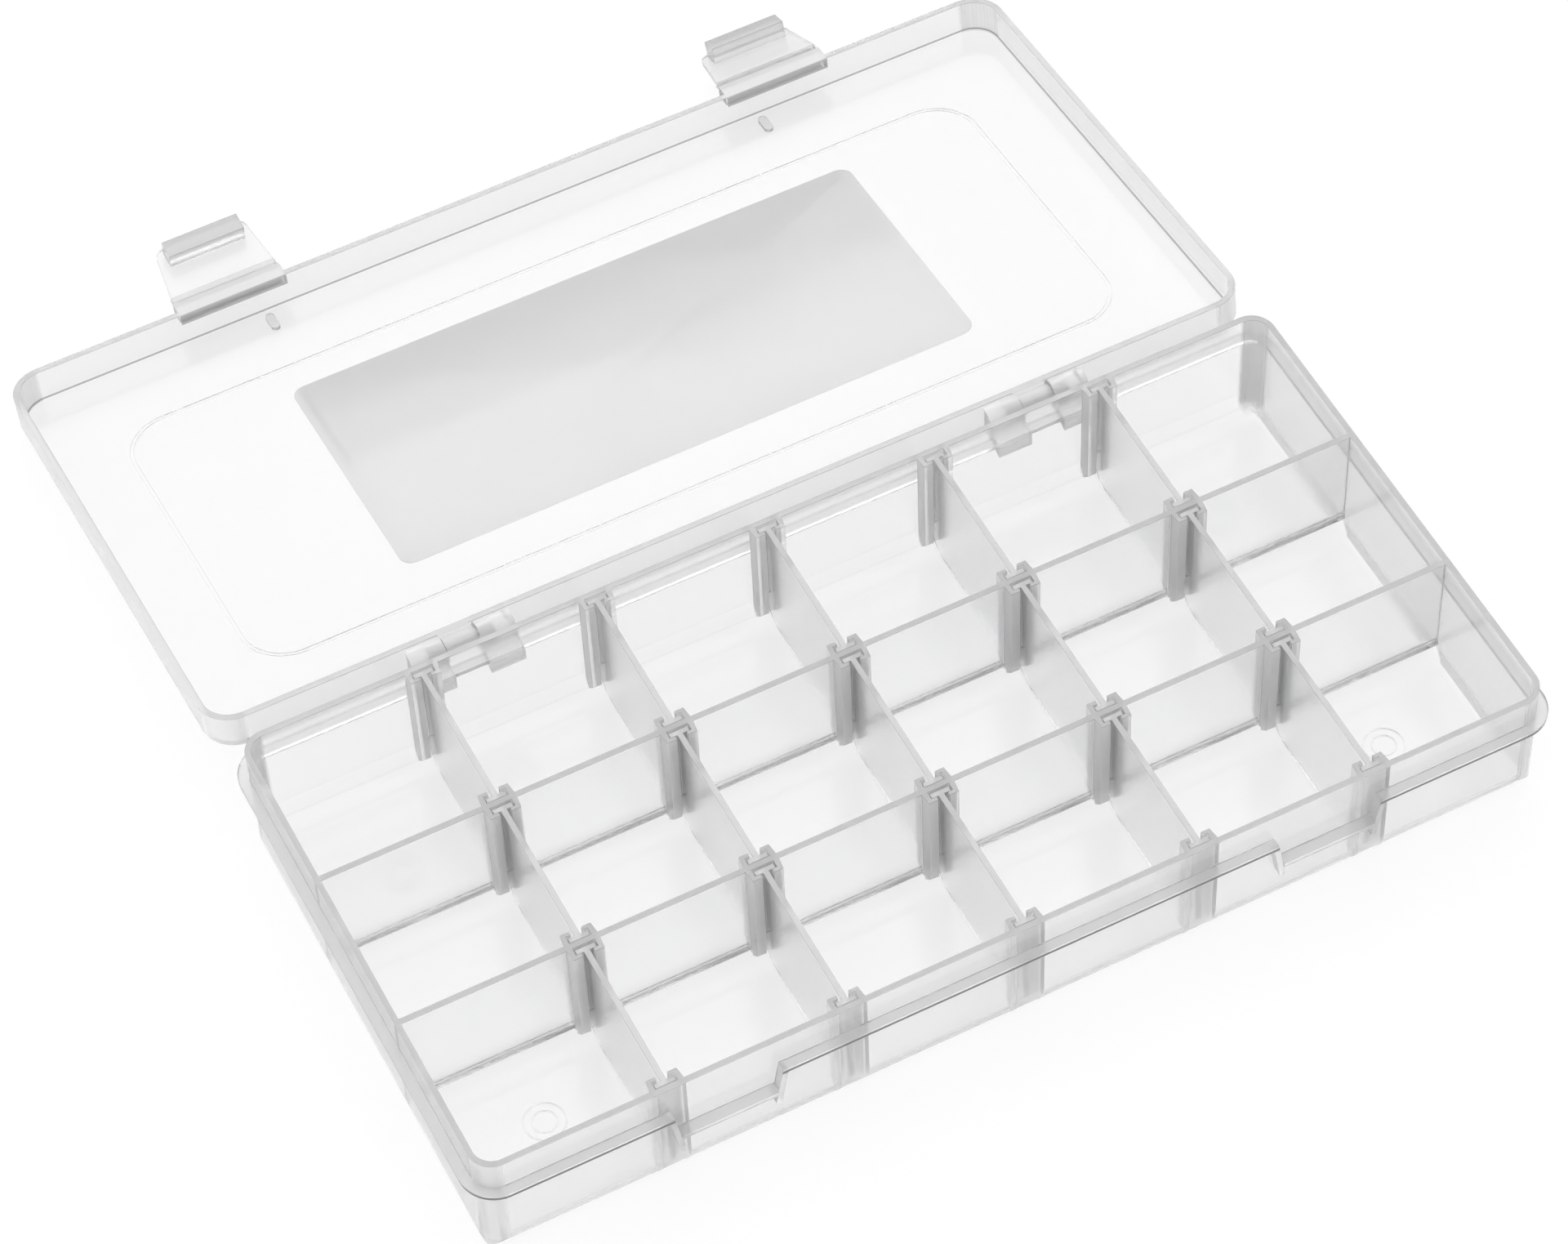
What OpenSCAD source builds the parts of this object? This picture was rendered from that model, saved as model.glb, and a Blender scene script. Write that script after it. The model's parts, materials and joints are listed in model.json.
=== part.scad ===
// Shallow clear tackle box: a tray of eighteen compartments with fifteen
// lift-out dividers, and a hinged lid that two fold-over latches hold shut.
// The lid lies back behind the tray, its far edge just above the table.

/* [Tray] */
// Length of the tray over its rim
tray_length = 230.4; // [225:0.1:240]
// Depth of the tray over its rim, front to back
tray_depth = 111.6; // [108:0.1:118]
// Height of the rim above the underside
tray_height = 31; // [28:0.5:34]
// Radius of the tray's upright corners
tray_corner = 5.2; // [4.5:0.1:8]
// Thickness of the tray's walls and floor
wall = 1.2; // [1:0.1:1.4]
// Inside radius between a row's floor and its long walls
scoop_radius = 5.5; // [4.5:0.5:6.5]

/* [Rim and flange] */
// Height of the tongue that stands above the flange
tongue_height = 7.2; // [7:0.1:8]
// How far the flange reaches out from the tongue
flange_reach = 2.2; // [2.1:0.1:2.6]
// Thickness of the flange
flange_thickness = 1.1; // [0.9:0.1:1.3]

/* [Dividers] */
// Distance from one divider to the next
divider_pitch = 38; // [37:0.5:39]
// Thickness of a divider's web
web_thickness = 1.2; // [1:0.1:1.4]
// Width of the head at each end of a divider
head_width = 4.2; // [3.8:0.1:4.4]
// Thickness of that head
head_thickness = 1.1; // [0.9:0.1:1.2]
// Height of the head's lower end above the table
head_bottom = 9.8; // [9:0.1:12]

/* [Lid] */
// Height of the lid over its wall and panel
lid_height = 8.6; // [8.5:0.1:9.5]
// Thickness of the lid's wall
lid_wall = 1.3; // [1.2:0.1:1.4]
// Thickness of the lid's panel
panel_thickness = 1.2; // [1:0.1:1.2]
// Angle that the lid is turned back from closed
lid_opening = 187.5; // [0:0.5:188.5]

/* [Hinges and latches] */
// Distance between the two hinges, and between the two latches
fitting_spacing = 130; // [124:1:136]
// Radius of the hinge pins
pin_radius = 1.5; // [1.3:0.05:1.6]
// Distance from the lid's back wall to the hinge axis
hinge_offset = 3.2; // [3.2:0.1:3.4]
// Length of a latch plate from its hinge
latch_length = 14; // [13.5:0.5:15]
// Angle that the left latch is folded in from flat
left_latch_fold = 12; // [0:1:60]
// Angle that the right latch is folded in from flat
right_latch_fold = -13; // [-13:1:60]

/* [Hidden] */
$fn = 96;
overlap = 0.5;

columns = 6;
row_names = ["front", "middle", "back"];
rows = len(row_names);
row_width = (tray_depth - (rows + 1) * wall) / rows;
row_pitch = row_width + wall;
scoop_outer = scoop_radius + wall;
end_radius = 4;

flange_top = tray_height - tongue_height;
flange_length = tray_length + 2 * flange_reach;
flange_depth = tray_depth + 2 * flange_reach;
flange_corner = tray_corner + flange_reach;

// The rails that hold a divider's head, as distances from the wall
divider_play = 0.35;
rail_gap = 2.6;
rail_inner = head_width + 0.6;
rail_foot = 0.85;
rail_flare = 0.3;
lip_start = divider_play + head_thickness + 0.3;
rail_reach = lip_start + 0.8;
rail_bottom = 3.6;
rail_taper = 1.4;
divider_length = row_width - 2 * divider_play;
divider_top = tray_height - 0.4;
divider_bottom = wall + 0.3;

// The four ring marks under the floor
foot_x = 93.2;
foot_y = 33.2;
foot_radii = [2.5, 4.2];
foot_groove = 0.2;
foot_line = 0.24;

lid_rim = flange_top + 0.2;
lid_top = lid_rim + lid_height;
lid_edge = 1.6;
lid_back = flange_depth / 2;
hinge_y = lid_back + hinge_offset;
hinge_z = lid_rim + 1;
lug_width = 7.6;
lug_gap = 7.6;
lug_radius = hinge_offset - 0.4;
lug_bottom = 19;
lug_corner = 3;
bore_radius = pin_radius + 0.05;
bore_depth = 3.5;
knuckle_width = 7;
knuckle_radius = 2.1;
pin_reach = 3.1;

ledge_width = 24.6;
ledge_height = 2.8;
latch_thickness = 1.2;
latch_y = -lid_back - 3.8;
latch_z = lid_rim + latch_thickness / 2;
latch_clearance = 0.9;
latch_tip_width = 21;
latch_tip_corner = 2.6;
hook_start = 8.4;
hook_length = 4.2;
hook_height = 3.9;
hook_width = 17.4;
catch_drop = 6.2;
catch_reach = flange_reach + 0.4;
catch_length = 19.2;
recess_length = 22.8;
recess_web = 1.2;
recess_bottom = 13.4;

groove_length = 199.6;
groove_depth = 79.2;
groove_corner = 10.5;
groove_middle = [-1.2, 1, 0];
groove_width = 0.8;
groove_sink = 0.3;
label_length = 132.2;
label_depth = 60.4;
label_corner = 3;
label_middle = [2, -0.8, 0];
label_thickness = 0.15;
bump_x = 59;
bump_inset = 3.7;
bump_length = 5;
bump_width = 2;
bump_height = 0.8;

clear_plastic = [0.90, 0.92, 0.93, 0.45];
frosted_plastic = [0.84, 0.86, 0.87, 0.60];
label_grey = [0.78, 0.78, 0.78];

function row_front(row) = -tray_depth / 2 + wall + row * row_pitch;
function divider_x(slot) = (slot - columns / 2) * divider_pitch;

module rounded_rect(length, depth, corner) {
    square([length - 2 * corner, depth], center = true);
    square([length, depth - 2 * corner], center = true);
    for (x = [-1, 1], y = [-1, 1])
        translate([x * (length / 2 - corner), y * (depth / 2 - corner)]) circle(corner);
}

module upright_prism(length, depth, corner, low, high) {
    translate([0, 0, low]) linear_extrude(high - low) rounded_rect(length, depth, corner);
}

// A section with a flat floor and round bottom corners
module trough_2d(left, right, low, high, radius) {
    translate([left + radius, low]) square([right - left - 2 * radius, high - low]);
    translate([left, low + radius]) square([right - left, high - low - radius]);
    translate([left + radius, low + radius]) circle(radius);
    translate([right - radius, low + radius]) circle(radius);
}

// Lays a section drawn in Y and Z along X, and one drawn in X and Z along Y
module along_x(length) {
    rotate([90, 0, 90]) linear_extrude(length, center = true) children();
}
module along_y(length) {
    rotate([90, 0, 0]) linear_extrude(length, center = true) children();
}

module tray_outside() {
    half = tray_length / 2;
    intersection() {
        upright_prism(tray_length, tray_depth, tray_corner, 0, tray_height);
        along_x(tray_length)
            for (row = [0:rows - 1])
                trough_2d(row_front(row) - wall, row_front(row) + row_width + wall,
                    0, tray_height, scoop_outer);
        along_y(tray_depth) trough_2d(-half, half, 0, tray_height, end_radius);
    }
}

module row_space(row) {
    half = tray_length / 2 - wall;
    intersection() {
        upright_prism(tray_length - 2 * wall, tray_depth - 2 * wall, tray_corner - wall,
            wall, tray_height + 1);
        along_x(tray_length)
            trough_2d(row_front(row), row_front(row) + row_width,
                wall, tray_height + 1, scoop_radius);
        along_y(tray_depth) trough_2d(-half, half, wall, tray_height + 1, end_radius - wall);
    }
}

// One pair of rails, standing out along +Y from a wall at y = 0
module rail_pair() {
    difference() {
        translate([0, 0, rail_bottom]) linear_extrude(tray_height - rail_bottom)
            for (side = [0, 1]) mirror([side, 0]) polygon([
                [rail_inner / 2, -overlap],
                [rail_inner / 2 + rail_foot + rail_flare, -overlap],
                [rail_inner / 2 + rail_foot + rail_flare, 0],
                [rail_inner / 2 + rail_foot, rail_reach],
                [rail_gap / 2, rail_reach],
                [rail_gap / 2, lip_start],
                [rail_inner / 2, lip_start]
            ]);
        along_x(2 * rail_inner) polygon([
            [lip_start - rail_taper, rail_bottom - 1],
            [rail_reach + 1, rail_bottom - 1],
            [rail_reach + 1, rail_bottom + rail_taper + 1]
        ]);
    }
}

module tray_rails() {
    for (row = [0:rows - 1], slot = [1:columns - 1]) {
        translate([divider_x(slot), row_front(row), 0]) rail_pair();
        translate([divider_x(slot), row_front(row) + row_width, 0]) mirror([0, 1, 0]) rail_pair();
    }
}

// The opening in the front flange, and the lower ledge that the latch hooks under
module catch_recess() {
    translate([-recess_length / 2, -tray_depth / 2 - 2 * flange_reach, flange_top - 2])
        cube([recess_length, 2 * flange_reach, 3]);
}
module catch_ledge() {
    translate([-catch_length / 2 - recess_web / 2, -tray_depth / 2 - catch_reach,
            flange_top - catch_drop - flange_thickness])
        cube([catch_length + recess_web, catch_reach + overlap, flange_thickness]);
    translate([0, -tray_depth / 2 - (flange_reach - overlap) / 2, 0])
        along_y(flange_reach + overlap)
            for (side = [0, 1]) mirror([side, 0]) polygon([
                [recess_length / 2, flange_top],
                [recess_length / 2 + recess_web, flange_top],
                [catch_length / 2 + recess_web, recess_bottom],
                [catch_length / 2, recess_bottom]
            ]);
}

// A hinge lug's section: a round head about the axis on a bracket from the back wall
module lug_2d() {
    foot = [tray_depth / 2 - overlap, lug_bottom];
    run = [hinge_y, hinge_z] - foot;
    reach = sqrt(norm(run) * norm(run) - lug_radius * lug_radius);
    slope = atan2(run[1], run[0]) - asin(lug_radius / norm(run));
    translate([hinge_y, hinge_z]) circle(lug_radius);
    polygon([
        foot,
        foot + reach * [cos(slope), sin(slope)],
        [hinge_y, hinge_z],
        [hinge_y - lug_radius + 0.2, flange_top],
        [foot[0], flange_top]
    ]);
}

module hinge_lugs() {
    difference() {
        intersection() {
            along_x(lug_gap + 2 * lug_width) lug_2d();
            translate([0, hinge_y + lug_radius - 20, 0])
                upright_prism(lug_gap + 2 * lug_width, 40, lug_corner, 0, tray_height);
        }
        cube([lug_gap, 3 * tray_depth, 3 * tray_height], center = true);
    }
}

module hinge_bores() {
    translate([0, hinge_y, hinge_z]) rotate([0, 90, 0])
        cylinder(r = bore_radius, h = lug_gap + 2 * bore_depth, center = true);
}

module foot_marks() {
    for (x = [-foot_x, foot_x], y = [-foot_y, foot_y], radius = foot_radii)
        translate([x, y, 0]) difference() {
            cylinder(r = radius + foot_line / 2, h = 2 * foot_groove, center = true);
            cylinder(r = radius - foot_line / 2, h = 4 * foot_groove, center = true);
        }
}

module base() {
    color(clear_plastic) {
        difference() {
            union() {
                tray_outside();
                difference() {
                    upright_prism(flange_length, flange_depth, flange_corner,
                        flange_top - flange_thickness, flange_top);
                    for (side = [-1, 1])
                        translate([side * fitting_spacing / 2, 0, 0]) catch_recess();
                }
                for (side = [-1, 1]) translate([side * fitting_spacing / 2, 0, 0]) {
                    catch_ledge();
                    hinge_lugs();
                }
            }
            for (row = [0:rows - 1]) row_space(row);
            for (side = [-1, 1]) translate([side * fitting_spacing / 2, 0, 0]) hinge_bores();
            foot_marks();
        }
        tray_rails();
    }
}

// Turns a shape drawn on the closed lid to where the open lid is
module on_lid() {
    translate([0, hinge_y, hinge_z]) rotate([-lid_opening, 0, 0])
        translate([0, -hinge_y, -hinge_z]) children();
}

module round_top_2d(length, height, radius) {
    translate([-length / 2, 0]) square([length, height - radius]);
    translate([radius - length / 2, 0]) square([length - 2 * radius, height]);
    for (side = [-1, 1]) translate([side * (length / 2 - radius), height - radius]) circle(radius);
}

// A block with upright corners and a rounded upper edge
module rounded_block(length, depth, height, corner, edge) {
    along_x(length - 2 * corner) round_top_2d(depth, height, edge);
    along_y(depth - 2 * corner) round_top_2d(length, height, edge);
    for (x = [-1, 1], y = [-1, 1])
        translate([x * (length / 2 - corner), y * (depth / 2 - corner), 0])
            rotate_extrude() intersection() {
                round_top_2d(2 * corner, height, edge);
                square([corner, height]);
            }
}

module hinge_knuckle() {
    along_x(knuckle_width) {
        translate([hinge_y, hinge_z]) circle(knuckle_radius);
        polygon([
            [lid_back - overlap, lid_rim],
            [lid_back + overlap, lid_rim],
            [hinge_y, hinge_z - knuckle_radius],
            [hinge_y, hinge_z + knuckle_radius],
            [lid_back - overlap, hinge_z + 2 * knuckle_radius]
        ]);
    }
    translate([0, hinge_y, hinge_z]) rotate([0, 90, 0])
        cylinder(r = pin_radius, h = lug_gap + 2 * pin_reach, center = true);
}

module latch_ledge() {
    ledge_front = latch_y + latch_clearance;
    translate([-ledge_width / 2, ledge_front, lid_rim])
        cube([ledge_width, lid_wall - lid_back - ledge_front, ledge_height]);
}

// The shallow groove that frames the panel's outer face
module panel_groove() {
    inner_corner = groove_corner - groove_width;
    difference() {
        upright_prism(groove_length, groove_depth, groove_corner,
            lid_top - groove_sink, lid_top + 1);
        upright_prism(groove_length - 2 * groove_width, groove_depth - 2 * groove_width,
            inner_corner, lid_top - 1, lid_top + 2);
    }
}

module closed_lid() {
    cavity_height = lid_height - panel_thickness;
    difference() {
        translate([0, 0, lid_rim])
            rounded_block(flange_length, flange_depth, lid_height, flange_corner, lid_edge);
        upright_prism(flange_length - 2 * lid_wall, flange_depth - 2 * lid_wall,
            flange_corner - lid_wall, lid_rim - 1, lid_rim + cavity_height);
        translate(groove_middle) panel_groove();
    }
    for (side = [-1, 1]) {
        translate([side * fitting_spacing / 2, 0, 0]) {
            hinge_knuckle();
            latch_ledge();
        }
        translate([side * bump_x, bump_length / 2 + bump_inset - lid_back,
                lid_rim + cavity_height - bump_height])
            linear_extrude(bump_height + overlap) {
                square([bump_width, bump_length - bump_width], center = true);
                for (end = [-1, 1])
                    translate([0, end * (bump_length - bump_width) / 2]) circle(bump_width / 2);
            }
    }
}

module lid() {
    color(clear_plastic) on_lid() closed_lid();
}

module label() {
    color(label_grey) on_lid() translate(label_middle)
        upright_prism(label_length, label_depth, label_corner, lid_top, lid_top + label_thickness);
}

// A latch drawn flat: its hinge along X at the origin, its plate towards -Y, its hook below
module flat_latch() {
    straight = latch_length - latch_tip_corner;
    rotate([0, 90, 0]) cylinder(r = latch_thickness / 2, h = ledge_width - 0.6, center = true);
    translate([0, 0, -latch_thickness / 2]) linear_extrude(latch_thickness) {
        polygon([
            [ledge_width / 2 - 0.3, 0],
            [latch_tip_width / 2, -straight],
            [-latch_tip_width / 2, -straight],
            [0.3 - ledge_width / 2, 0]
        ]);
        translate([latch_tip_corner - latch_tip_width / 2, -latch_length])
            square([latch_tip_width - 2 * latch_tip_corner, latch_length - straight + overlap]);
        for (side = [-1, 1])
            translate([side * (latch_tip_width / 2 - latch_tip_corner), -straight])
                circle(latch_tip_corner);
    }
    translate([-hook_width / 2, -hook_start - hook_length, -latch_thickness / 2 - hook_height])
        cube([hook_width, hook_length, hook_height + overlap]);
}

module latch(side, fold) {
    color(clear_plastic) on_lid()
        translate([side * fitting_spacing / 2, latch_y, latch_z]) rotate([fold, 0, 0]) flat_latch();
}

module divider(row, slot) {
    half = divider_length / 2;
    play = scoop_radius - divider_play;
    color(frosted_plastic) translate([divider_x(slot), row_front(row) + row_width / 2, 0]) {
        along_x(web_thickness)
            trough_2d(-half, half, divider_bottom, divider_top, play);
        for (side = [-1, 1])
            translate([-head_width / 2, side * (half - head_thickness / 2) - head_thickness / 2,
                    head_bottom])
                cube([head_width, head_thickness, divider_top - head_bottom]);
    }
}

base();
lid();
label();
latch(-1, left_latch_fold);  // latch_left
latch(1, right_latch_fold);  // latch_right
for (row = [0:rows - 1], slot = [1:columns - 1])
    divider(row, slot);
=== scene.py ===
"""Looks of the clear tackle case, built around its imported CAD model."""

import functools
import json
import math

import bmesh
import bpy
from mathutils import Matrix, Vector


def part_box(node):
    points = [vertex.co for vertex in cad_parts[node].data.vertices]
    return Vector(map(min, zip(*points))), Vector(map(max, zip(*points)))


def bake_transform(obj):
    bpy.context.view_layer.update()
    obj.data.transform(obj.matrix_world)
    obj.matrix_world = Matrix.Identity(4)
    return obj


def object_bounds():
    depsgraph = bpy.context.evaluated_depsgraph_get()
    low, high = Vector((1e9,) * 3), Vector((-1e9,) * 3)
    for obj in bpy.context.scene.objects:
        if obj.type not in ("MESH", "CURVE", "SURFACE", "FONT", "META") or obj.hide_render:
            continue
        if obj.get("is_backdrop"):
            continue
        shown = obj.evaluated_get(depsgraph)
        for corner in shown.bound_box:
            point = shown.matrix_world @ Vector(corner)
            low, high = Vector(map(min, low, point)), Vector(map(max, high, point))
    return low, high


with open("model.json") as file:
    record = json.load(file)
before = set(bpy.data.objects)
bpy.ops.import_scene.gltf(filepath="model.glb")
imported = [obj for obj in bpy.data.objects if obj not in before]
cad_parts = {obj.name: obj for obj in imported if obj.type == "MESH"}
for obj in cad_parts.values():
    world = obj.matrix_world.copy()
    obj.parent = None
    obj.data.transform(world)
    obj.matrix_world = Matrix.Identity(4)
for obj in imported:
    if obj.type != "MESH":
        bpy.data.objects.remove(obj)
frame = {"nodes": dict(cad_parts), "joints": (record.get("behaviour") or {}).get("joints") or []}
cad_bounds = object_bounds()
MM = 0.001


# ---------------------------------------------------------------- camera, floor and light

CAMERA_TARGET = Vector((-2.9, 41.7, 15.0)) * MM
CAMERA_DISTANCE = 1.0855
CAMERA_AZIMUTH, CAMERA_ELEVATION, CAMERA_ROLL = -24.63, 52.98, -3.05
CAMERA_LENS = 123.9


def add_camera():
    """The studio camera, by the angles of its line of sight to a point in the case."""
    turn = (
        Matrix.Rotation(math.radians(CAMERA_AZIMUTH), 4, "Z")
        @ Matrix.Rotation(math.radians(90 - CAMERA_ELEVATION), 4, "X")
        @ Matrix.Rotation(math.radians(CAMERA_ROLL), 4, "Z")
    )
    data = bpy.data.cameras.new("camera")
    data.lens = CAMERA_LENS
    data.clip_start = 0.05
    data.clip_end = 50
    camera = bpy.data.objects.new("camera", data)
    camera.matrix_world = (
        Matrix.Translation(CAMERA_TARGET) @ turn @ Matrix.Translation((0, 0, CAMERA_DISTANCE))
    )
    bpy.context.scene.collection.objects.link(camera)
    bpy.context.scene.camera = camera


def add_floor():
    """A wide pale floor, a hair under the tray so that no faces coincide."""
    half = 3.0
    mesh = bpy.data.meshes.new("floor")
    corners = [(-half, -half, 0), (half, -half, 0), (half, half, 0), (-half, half, 0)]
    mesh.from_pydata(corners, [], [(0, 1, 2, 3)])
    floor = bpy.data.objects.new("floor", mesh)
    floor.location.z = -0.2 * MM
    bpy.context.scene.collection.objects.link(floor)
    material = bpy.data.materials.new("floor")
    material.use_nodes = True
    shader = material.node_tree.nodes["Principled BSDF"]
    shader.inputs["Base Color"].default_value = (0.14, 0.14, 0.14, 1)
    shader.inputs["Emission Color"].default_value = (1, 1, 1, 1)
    shader.inputs["Emission Strength"].default_value = 0.845
    shader.inputs["Roughness"].default_value = 0.9
    shader.inputs["Specular IOR Level"].default_value = 0.1
    mesh.materials.append(material)
    floor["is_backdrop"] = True


def add_world():
    """Soft studio surround: bright overhead, grey towards the horizon."""
    world = bpy.data.worlds.new("studio")
    world.use_nodes = True
    bpy.context.scene.world = world
    tree = world.node_tree
    place = tree.nodes.new("ShaderNodeTexCoord")
    split = tree.nodes.new("ShaderNodeSeparateXYZ")
    ramp = tree.nodes.new("ShaderNodeValToRGB")
    tree.links.new(place.outputs["Generated"], split.inputs[0])
    tree.links.new(split.outputs["Z"], ramp.inputs["Fac"])
    tree.links.new(ramp.outputs["Color"], tree.nodes["Background"].inputs["Color"])
    stops = ramp.color_ramp.elements
    stops[0].position, stops[0].color = 0.0, (0.72, 0.72, 0.723, 1)
    stops[1].position, stops[1].color = 0.75, (1.0, 1.0, 1.0, 1)
    middle = stops.new(0.3)
    middle.color = (0.84, 0.84, 0.843, 1)
    tree.nodes["Background"].inputs["Strength"].default_value = 1.10


def add_softbox(name, place, size, energy):
    """A large area light that faces the case."""
    data = bpy.data.lights.new(name, "AREA")
    data.shape = "SQUARE"
    data.size = size
    data.energy = energy
    light = bpy.data.objects.new(name, data)
    aim = Vector(place) - CAMERA_TARGET
    light.matrix_world = Matrix.Translation(place) @ aim.to_track_quat("Z", "Y").to_matrix().to_4x4()
    bpy.context.scene.collection.objects.link(light)


add_camera()
add_floor()
add_world()
add_softbox("softbox_back", (0.3, 1.6, 1.8), 2.2, 14)
add_softbox("softbox_left", (-1.9, -0.2, 1.6), 2.0, 10)
bpy.context.scene.view_settings.view_transform = "Standard"
bpy.context.scene.cycles.max_bounces = 32
bpy.context.scene.cycles.transmission_bounces = 32
bpy.context.scene.cycles.glossy_bounces = 20
bpy.context.scene.cycles.diffuse_bounces = 6


# ---------------------------------------------------------------- materials


class Nodes:
    """Short calls for building one material's node tree."""

    def __init__(self, name):
        self.material = bpy.data.materials.new(name)
        self.material.use_nodes = True
        self.tree = self.material.node_tree
        self.shader = self.tree.nodes["Principled BSDF"]
        self.place = self.tree.nodes.new("ShaderNodeTexCoord").outputs["Object"]
        split = self.tree.nodes.new("ShaderNodeSeparateXYZ")
        self.link(self.place, split.inputs[0])
        self.x, self.y, self.z = split.outputs

    def link(self, source, target):
        self.tree.links.new(source, target)

    def feed(self, socket, value):
        """Sets a socket to a plain number, or links it to another node's output."""
        if isinstance(value, (int, float)):
            socket.default_value = value
        else:
            self.link(value, socket)

    def noise(self, scale, detail=3.0, roughness=0.5, stretch=None, distortion=0.0):
        """Noise in object space, with scale in cells per metre."""
        node = self.tree.nodes.new("ShaderNodeTexNoise")
        node.inputs["Scale"].default_value = scale
        node.inputs["Detail"].default_value = detail
        node.inputs["Roughness"].default_value = roughness
        node.inputs["Distortion"].default_value = distortion
        source = self.place
        if stretch:
            mapping = self.tree.nodes.new("ShaderNodeMapping")
            mapping.inputs["Scale"].default_value = stretch
            self.link(self.place, mapping.inputs["Vector"])
            source = mapping.outputs["Vector"]
        self.link(source, node.inputs["Vector"])
        return node.outputs["Fac"]

    def spread(self, value, low, high, start=0.3, end=0.7):
        """Maps a value from start..end to low..high, and holds it there beyond."""
        node = self.tree.nodes.new("ShaderNodeMapRange")
        node.inputs["From Min"].default_value = start
        node.inputs["From Max"].default_value = end
        node.inputs["To Min"].default_value = low
        node.inputs["To Max"].default_value = high
        self.link(value, node.inputs["Value"])
        return node.outputs["Result"]

    def math(self, operation, first, second=0):
        node = self.tree.nodes.new("ShaderNodeMath")
        node.operation = operation
        self.feed(node.inputs[0], first)
        self.feed(node.inputs[1], second)
        return node.outputs["Value"]

    def above(self, value, edge, soft=0.1 * MM):
        """1 where value is over the edge, 0 where it is under it."""
        return self.spread(value, 0, 1, edge - soft, edge + soft)

    def below(self, value, edge, soft=0.1 * MM):
        return self.spread(value, 1, 0, edge - soft, edge + soft)

    def all_of(self, *masks):
        return functools.reduce(lambda first, second: self.math("MULTIPLY", first, second), masks)

    def size_of(self, value):
        return self.math("ABSOLUTE", value)

    def along(self, origin, direction):
        """Distance from a point, along a direction in the Y-Z plane."""
        part_y = self.math("MULTIPLY", self.math("SUBTRACT", self.y, origin.y), direction.y)
        part_z = self.math("MULTIPLY", self.math("SUBTRACT", self.z, origin.z), direction.z)
        return self.math("ADD", part_y, part_z)

    def past_sides(self, across, along, half, corner):
        """How far a point is past the straight stretches of a rounded rectangle's sides."""
        return [
            self.math("MAXIMUM", self.math("SUBTRACT", self.size_of(value), reach - corner), 0)
            for value, reach in zip((across, along), half)
        ]

    def past_outline(self, across, along, half, corner):
        """Distance outside a rounded rectangle's outline, negative inside it."""
        sides = self.past_sides(across, along, half, corner)
        squares = [self.math("POWER", side, 2) for side in sides]
        return self.math("SUBTRACT", self.math("SQRT", self.math("ADD", *squares)), corner)

    def in_corner(self, across, along, half, corner, soft):
        """Rises from 0 at the straight sides to 1 well round that outline's corners."""
        nearer = self.math("MINIMUM", *self.past_sides(across, along, half, corner))
        return self.above(nearer, soft, soft)

    def mixed(self, mask, low, high):
        """A number that goes from low to high as the mask goes from 0 to 1."""
        node = self.tree.nodes.new("ShaderNodeMix")
        self.feed(node.inputs["Factor"], mask)
        self.feed(node.inputs["A"], low)
        self.feed(node.inputs["B"], high)
        return node.outputs["Result"]

    def grey(self, value):
        """A near-neutral colour of this brightness, a touch cool."""
        node = self.tree.nodes.new("ShaderNodeCombineColor")
        for channel, share in (("Red", 0.998), ("Green", 1.0), ("Blue", 1.002)):
            self.link(self.math("MULTIPLY", value, share), node.inputs[channel])
        return node.outputs["Color"]

    def bump(self, height, depth):
        """Surface relief: height runs from 0 to 1 over depth metres."""
        node = self.tree.nodes.new("ShaderNodeBump")
        node.inputs["Distance"].default_value = depth
        node.inputs["Strength"].default_value = 1.0
        self.link(height, node.inputs["Height"])
        self.link(node.outputs["Normal"], self.shader.inputs["Normal"])


PLASTIC_RELIEF = 0.01 * MM


def clear_plastic(name, tone, rough, haze, zones):
    """Moulded polypropylene: faint flow bands, a fine skin and hair scratches.

    Each zone is a function that makes a mask, with the tone and the haze there: milkier haze where
    the plastic is thicker or rougher, and darker tones where shade is painted into the colour.
    """
    n = Nodes(name)
    flow = n.noise(22, detail=2, stretch=(1.0, 2.5, 1.0), distortion=0.6)
    skin = n.noise(900, detail=4)
    scratches = n.noise(260, detail=6, roughness=0.75, stretch=(1.0, 14.0, 14.0))
    brightness = n.spread(flow, tone - 0.006, tone + 0.004)
    clearness = 1 - haze
    # zones with a dark tone paint shade into the base colour; haze alone makes the plastic milkier
    for make_mask, zone_tone, zone_haze in zones:
        mask = make_mask(n)
        brightness = n.mixed(mask, brightness, zone_tone)
        clearness = n.mixed(mask, clearness, 1 - zone_haze)
    n.link(n.grey(brightness), n.shader.inputs["Base Color"])
    n.link(clearness, n.shader.inputs["Transmission Weight"])
    clouded = n.spread(flow, 0, rough * 0.15)
    scratched = n.spread(scratches, 0, rough * 0.2, 0.55, 0.75)
    worn = n.math("ADD", clouded, scratched)
    n.link(n.math("ADD", worn, rough), n.shader.inputs["Roughness"])
    n.bump(n.math("ADD", n.math("MULTIPLY", skin, 0.05), flow), PLASTIC_RELIEF)
    n.shader.inputs["IOR"].default_value = 1.49
    return n.material


def label_film():
    """Plain matt film with a faint paper-like mottle."""
    n = Nodes("label_film")
    mottle = n.noise(600, detail=5)
    cloud = n.noise(30, detail=2)
    tone = n.math("ADD", n.math("MULTIPLY", mottle, 0.5), n.math("MULTIPLY", cloud, 0.5))
    n.link(n.grey(n.spread(tone, 0.94, 0.97)), n.shader.inputs["Base Color"])
    n.link(n.spread(mottle, 0.55, 0.7), n.shader.inputs["Roughness"])
    n.bump(mottle, 0.02 * MM)
    return n.material


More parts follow.
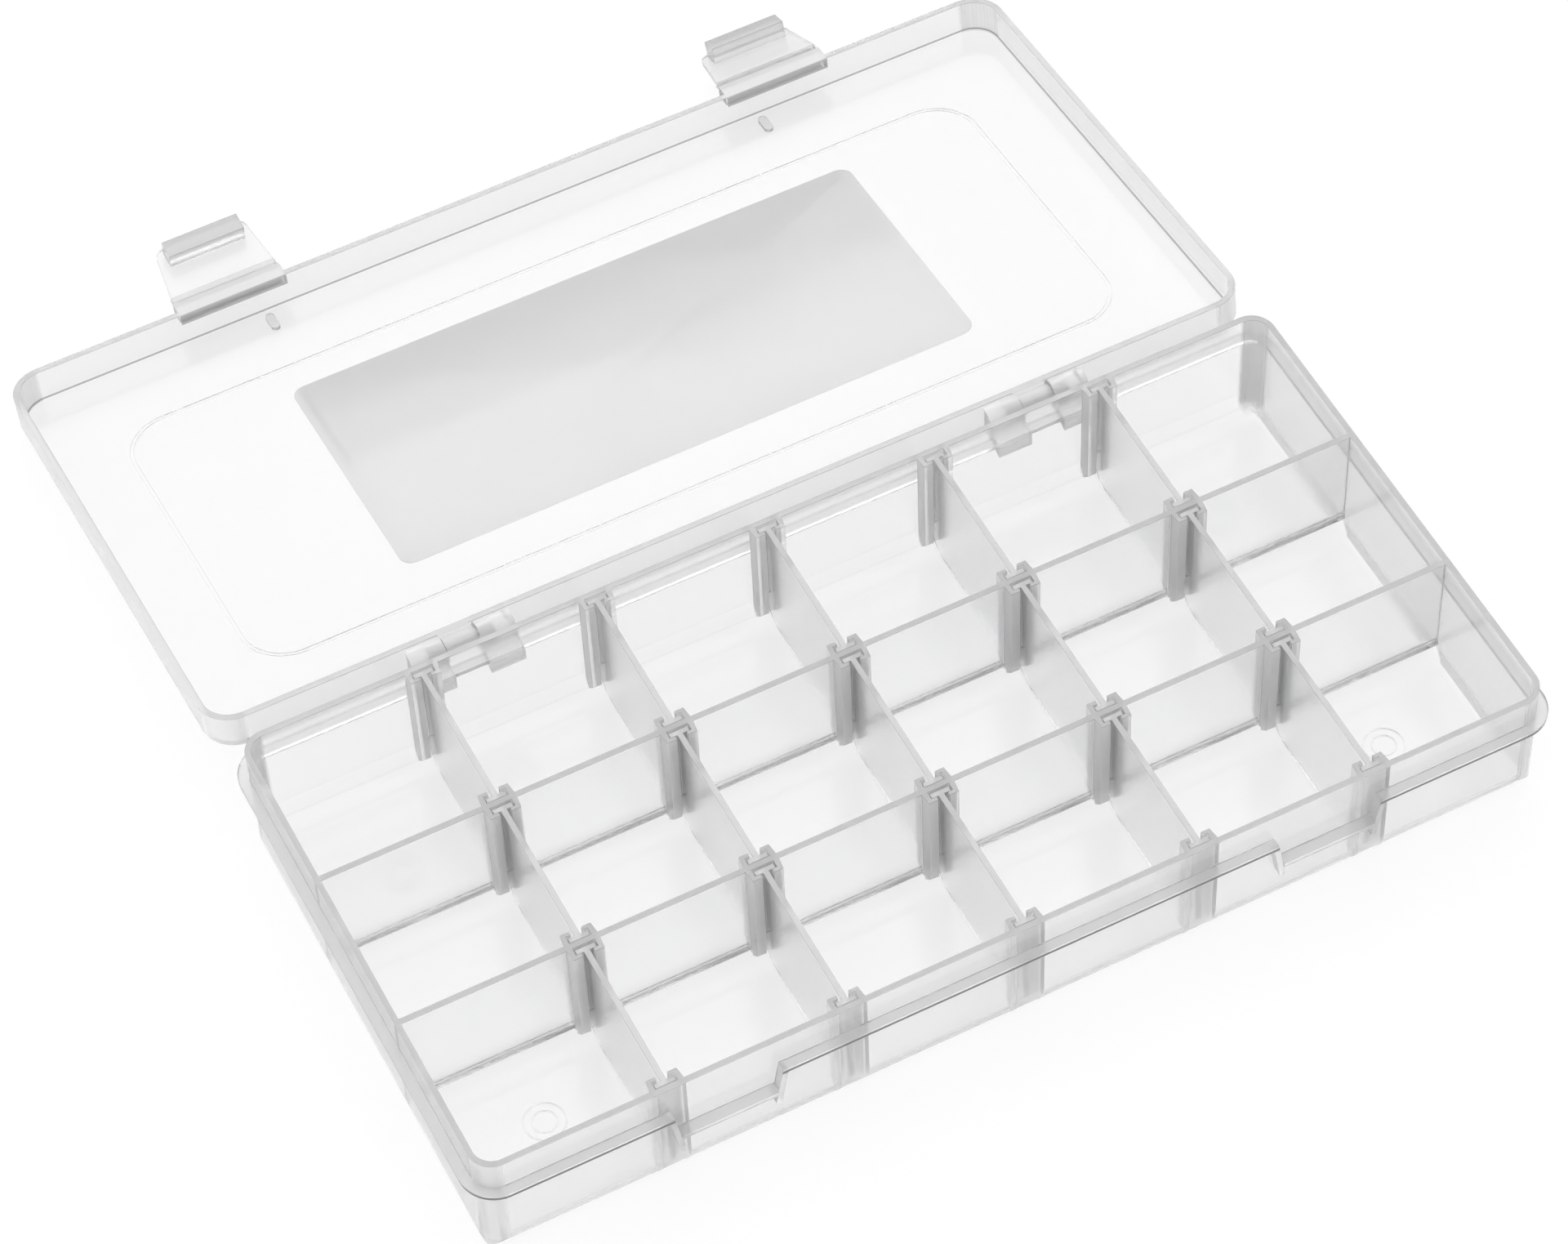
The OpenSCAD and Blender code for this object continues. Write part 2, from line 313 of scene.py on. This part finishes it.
BASE_HIGH = Vector(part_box("base")[1])
DIVIDER_LOW, DIVIDER_HIGH = (Vector(corner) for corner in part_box("divider_front_1"))
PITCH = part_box("divider_front_2")[0][0] - DIVIDER_LOW.x
FLANGE_REACH = 2.2 * MM
FLANGE_BOTTOM = 22.7 * MM
TRAY_HALF = (BASE_HIGH.x - FLANGE_REACH, 55.8 * MM)
TRAY_CORNER = 5.2 * MM
TRAY_WALL = 1.4 * MM
TRAY_FOOT = 3.2 * MM
RAIL_HALF_WIDTH = 3.6 * MM
RAIL_BOTTOM = 3.4 * MM
LUG_START = 2.6 * MM
EDGE_SKIN = 0.25 * MM
FACE_SKIN = 0.15 * MM
CORNER_SOFTNESS = 0.5 * MM


# The rim's top faces, painted a grey tone as shade.
def rim_tops_painted_shade(n):
    return n.above(n.z, BASE_HIGH.z - EDGE_SKIN)


def past_tray(n):
    """Distance outside the tray's walls, negative inside them."""
    return n.past_outline(n.x, n.y, TRAY_HALF, TRAY_CORNER)


# The flange's outer band, painted a grey tone as shade, with a little milkier haze.
def outer_flange_painted_shade(n):
    return n.above(past_tray(n), FACE_SKIN)


def front_flange_painted_shade(n):
    """The flange where it faces the light least, at the front and the two ends, painted milkier and
    a touch darker as shade.
    """
    return n.all_of(outer_flange_painted_shade(n), n.below(n.y, TRAY_HALF[1]))


def flange_painted_shadow_line(n):
    """The lowest strip of the flange's outer face, at the front and the two ends, painted near black
    as the shadow line under the flange.
    """
    from_strip = n.size_of(n.math("SUBTRACT", n.z, FLANGE_BOTTOM + 0.3 * MM))
    return n.all_of(
        n.above(past_tray(n), FLANGE_REACH - FACE_SKIN),
        n.below(from_strip, 0.45 * MM),
        n.below(n.y, TRAY_HALF[1]),
    )


def outer_walls(n):
    """The front and end walls, which catch less of the light than the back one, so the base paints
    them a darker tone as shade.
    """
    forward = n.below(n.y, TRAY_HALF[1] - 3 * MM, 2 * MM)
    return n.all_of(n.above(past_tray(n), -TRAY_WALL), forward)


def round_corners(n):
    """The upright corners above the floor, where the moulded wall is milkier."""
    corner = n.in_corner(n.x, n.y, TRAY_HALF, TRAY_CORNER, CORNER_SOFTNESS)
    return n.all_of(corner, n.above(n.z, 3.5 * MM, 1.5 * MM))


def wall_feet(n):
    """The round lower edges of the outer walls."""
    return n.all_of(outer_walls(n), n.below(n.z, TRAY_FOOT, TRAY_FOOT / 2))


def rails(n):
    """The strips beside each divider, found by their distance from the nearest one."""
    # ten whole pitches keep the sum above 0 all along the tray
    shifted = n.math("ADD", n.x, 10 * PITCH - (DIVIDER_LOW.x + DIVIDER_HIGH.x) / 2)
    return n.all_of(
        n.below(n.math("PINGPONG", shifted, PITCH / 2), RAIL_HALF_WIDTH),
        n.below(n.size_of(n.x), 2.5 * PITCH),
        n.below(n.size_of(n.y), TRAY_HALF[1] - 1.1 * MM),
        n.above(n.z, RAIL_BOTTOM),
    )


def hinge_lugs(n):
    return n.above(n.y, TRAY_HALF[1] + LUG_START, 0.3 * MM)


# The dividers' top edges, painted a grey tone as shade.
def divider_tops_painted_shade(n):
    return n.above(n.z, DIVIDER_HIGH.z - EDGE_SKIN)


def joint(name):
    return next(j for j in frame["joints"] if j["name"] == name)


def turned(angle):
    return Matrix.Rotation(math.radians(angle), 3, "X")


HINGE = Vector(joint("lid_hinge")["pos_m"])
LID_OPEN = joint("lid_hinge")["range_deg"][0]
LID_UP = turned(LID_OPEN) @ Vector((0, 0, 1))
LID_FRONT = turned(LID_OPEN) @ Vector((0, -1, 0))
LID_RIM = -1.0 * MM
LID_PANEL = 6.4 * MM
LID_INSIDE_HALF = (116.1 * MM, 56.7 * MM)
LID_INSIDE_CORNER = 6.1 * MM
ROOT_REACH = 0.2 * MM
LEDGE_HEIGHT = 2.8 * MM
LEDGE_INNER = 117.9 * MM
LEDGE_SKIN = 0.3 * MM
LEDGE_HALF_WIDTH = 12.3 * MM
BUMP_X = 59 * MM
BUMP_HALF_WIDTH = 1.4 * MM
BUMP_ROOT = 6.3 * MM
BUMP_HEIGHT = 1.2 * MM
BUMP_REACH = (110 * MM, 116 * MM)
LATCH_HALF_THICKNESS = 0.6 * MM
HOOK_TOP = 4.5 * MM
FOLDED_IN = 90


# The lid's rim edge, painted a grey tone as shade.
def lid_rim_painted_shade(n):
    return n.below(n.along(HINGE, LID_UP), LID_RIM + EDGE_SKIN)


def lid_inside(n):
    """The plan of the lid's inner wall, as across, along, half sizes and corner radius."""
    along = n.math("SUBTRACT", n.along(HINGE, LID_FRONT), HINGE.y)
    return n.x, along, LID_INSIDE_HALF, LID_INSIDE_CORNER


def lid_corners(n):
    wall = n.above(n.past_outline(*lid_inside(n)), -0.1 * MM)
    return n.all_of(wall, n.in_corner(*lid_inside(n), CORNER_SOFTNESS))


def lid_root_painted_shade(n):
    """The sharp inner corner where the lid's wall meets its panel, painted dark as shade in the
    crease.
    """
    from_panel = n.size_of(n.math("SUBTRACT", n.along(HINGE, LID_UP), LID_PANEL))
    from_wall = n.size_of(n.math("ADD", n.past_outline(*lid_inside(n)), FACE_SKIN))
    return n.all_of(n.below(from_panel, ROOT_REACH), n.below(from_wall, ROOT_REACH))


def ledge_face_painted_shade(n):
    """The inner face of the two ledges that carry the latches, painted dark as shade."""
    reach = n.along(HINGE, LID_FRONT)
    middle = joint("latch_right_fold")["pos_m"][0]
    return n.all_of(
        n.above(reach, LEDGE_INNER - LEDGE_SKIN),
        n.below(reach, LEDGE_INNER + LEDGE_SKIN),
        n.below(n.along(HINGE, LID_UP), LID_RIM + LEDGE_HEIGHT),
        n.below(n.size_of(n.math("SUBTRACT", n.size_of(n.x), middle)), LEDGE_HALF_WIDTH),
    )


def lid_bumps_painted_shade(n):
    """The two small oval stops inside the lid, painted grey as shade, with milkier haze."""
    from_rim = n.along(HINGE, LID_UP)
    reach = n.along(HINGE, LID_FRONT)
    return n.all_of(
        n.below(from_rim, BUMP_ROOT),
        n.above(from_rim, BUMP_ROOT - BUMP_HEIGHT),
        n.above(reach, BUMP_REACH[0]),
        n.below(reach, BUMP_REACH[1]),
        n.below(n.size_of(n.math("SUBTRACT", n.size_of(n.x), BUMP_X)), BUMP_HALF_WIDTH),
    )


class Latch:
    """Where a latch's pivot is, and how far it is folded in at rest."""

    def __init__(self, side):
        fold = joint(f"latch_{side}_fold")
        self.node = f"latch_{side}"
        self.pivot = Vector(fold["pos_m"])
        self.folded = FOLDED_IN + fold["range_deg"][0]
        self.inward = turned(LID_OPEN + self.folded) @ Vector((0, 0, -1))

    def hook(self, n):
        return n.above(n.along(self.pivot, self.inward), LATCH_HALF_THICKNESS + 0.2 * MM)

    # The hook's top edge, painted a grey tone as shade.
    def hook_top_painted_shade(self, n):
        return n.above(n.along(self.pivot, self.inward), HOOK_TOP - EDGE_SKIN)


def latch_plastic(latch):
    zones = [(latch.hook, 0.80, 0.30), (latch.hook_top_painted_shade, 0.50, 0.60)]
    return clear_plastic(f"clear_{latch.node}", 0.90, 0.19, 0.15, zones)


LATCHES = [Latch("left"), Latch("right")]
PLASTIC = {
    "base": clear_plastic("clear_base", 0.985, 0.16, 0.02, [
        # front and end walls: a darker tone as painted shade
        (outer_walls, 0.945, 0.15),
        (round_corners, 0.84, 0.55),
        (wall_feet, 0.97, 0.55),
        (rails, 1.00, 0.42),
        (outer_flange_painted_shade, 0.85, 0.20),
        (front_flange_painted_shade, 0.84, 0.34),
        (hinge_lugs, 0.97, 0.32),
        (flange_painted_shadow_line, 0.15, 0.80),
        (rim_tops_painted_shade, 0.60, 0.50),
    ]),
    "lid": clear_plastic("clear_lid", 0.93, 0.16, 0.06, [
        (lid_corners, 0.95, 0.50),
        (lid_root_painted_shade, 0.35, 0.60),
        (ledge_face_painted_shade, 0.42, 0.60),
        (lid_bumps_painted_shade, 0.66, 0.40),
        (lid_rim_painted_shade, 0.64, 0.50),
    ]),
    "label": label_film(),
}
PLASTIC.update((latch.node, latch_plastic(latch)) for latch in LATCHES)
DIVIDER_PLASTIC = clear_plastic("frosted_divider", 0.995, 0.19, 0.015, [(divider_tops_painted_shade, 0.64, 0.50)])


WELD_GAP = 0.002 * MM
MOULDED_EDGE = 0.12 * MM
SHARPER_THAN = math.radians(40)


def finish_node(name, edge):
    """Gives a CAD node its material and breaks its sharp edges as a mould does."""
    node = frame["nodes"][name]
    node.data.materials.clear()
    node.data.materials.append(PLASTIC.get(name, DIVIDER_PLASTIC))
    weld = node.modifiers.new("weld", "WELD")
    weld.merge_threshold = WELD_GAP
    if edge:
        bevel = node.modifiers.new("edges", "BEVEL")
        bevel.width = edge
        bevel.segments = 2
        bevel.limit_method = "ANGLE"
        bevel.angle_limit = SHARPER_THAN
        bevel.harden_normals = True
        shading = node.modifiers.new("flat_faces", "WEIGHTED_NORMAL")
        shading.weight = 100
        shading.keep_sharp = True


for name in frame["nodes"]:
    finish_node(name, 0 if name == "label" else MOULDED_EDGE)


# ---------------------------------------------------------------- living hinges

FILM_HALF_WIDTH = 12.0 * MM
FILM_RADII = (LATCH_HALF_THICKNESS + 0.02 * MM, LATCH_HALF_THICKNESS + 0.27 * MM)
FILM_ON_LID = 0.88 * MM
FILM_ON_LATCH = 1.5 * MM
FILM_BEND = 0.25 * MM
FILM_STEPS = 8


def film_section(latch):
    """Pairs of points through the film, inner and outer, from the ledge to the latch plate."""
    stations = [(FILM_ON_LID, 0)]
    for step in range(FILM_STEPS + 1):
        share = step / FILM_STEPS
        stations.append((FILM_BEND * (1 - 2 * share), latch.folded * share))
    stations.append((-FILM_ON_LATCH, latch.folded))
    for along, angle in stations:
        turn = turned(LID_OPEN + angle)
        yield [latch.pivot + turn @ Vector((0, along, radius)) for radius in FILM_RADII]


def add_living_hinge(latch):
    """The thin film that joins a latch to its ledge on the outer side, bent round to the latch's
    rest fold.
    """
    sections = []
    mesh = bmesh.new()
    for inner, outer in film_section(latch):
        corners = ((-1, inner), (1, inner), (1, outer), (-1, outer))
        sections.append([
            mesh.verts.new(point + Vector((side * FILM_HALF_WIDTH, 0, 0))) for side, point in corners
        ])
    for first, second in zip(sections, sections[1:]):
        for corner in range(4):
            after = (corner + 1) % 4
            mesh.faces.new((first[corner], first[after], second[after], second[corner]))
    mesh.faces.new(reversed(sections[0]))
    mesh.faces.new(sections[-1])
    bmesh.ops.recalc_face_normals(mesh, faces=mesh.faces)
    data = bpy.data.meshes.new(f"{latch.node}_living_hinge")
    mesh.to_mesh(data)
    mesh.free()
    data.materials.append(PLASTIC[latch.node])
    film = bpy.data.objects.new(data.name, data)
    bpy.context.scene.collection.objects.link(film)
    start = latch.pivot + turned(LID_OPEN) @ Vector((0, FILM_BEND, FILM_RADII[0]))
    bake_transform(film)


for latch in LATCHES:
    add_living_hinge(latch)


both = {"cad": cad_bounds, "visual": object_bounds()}
{k: [list(corner) for corner in v] for k, v in both.items()}
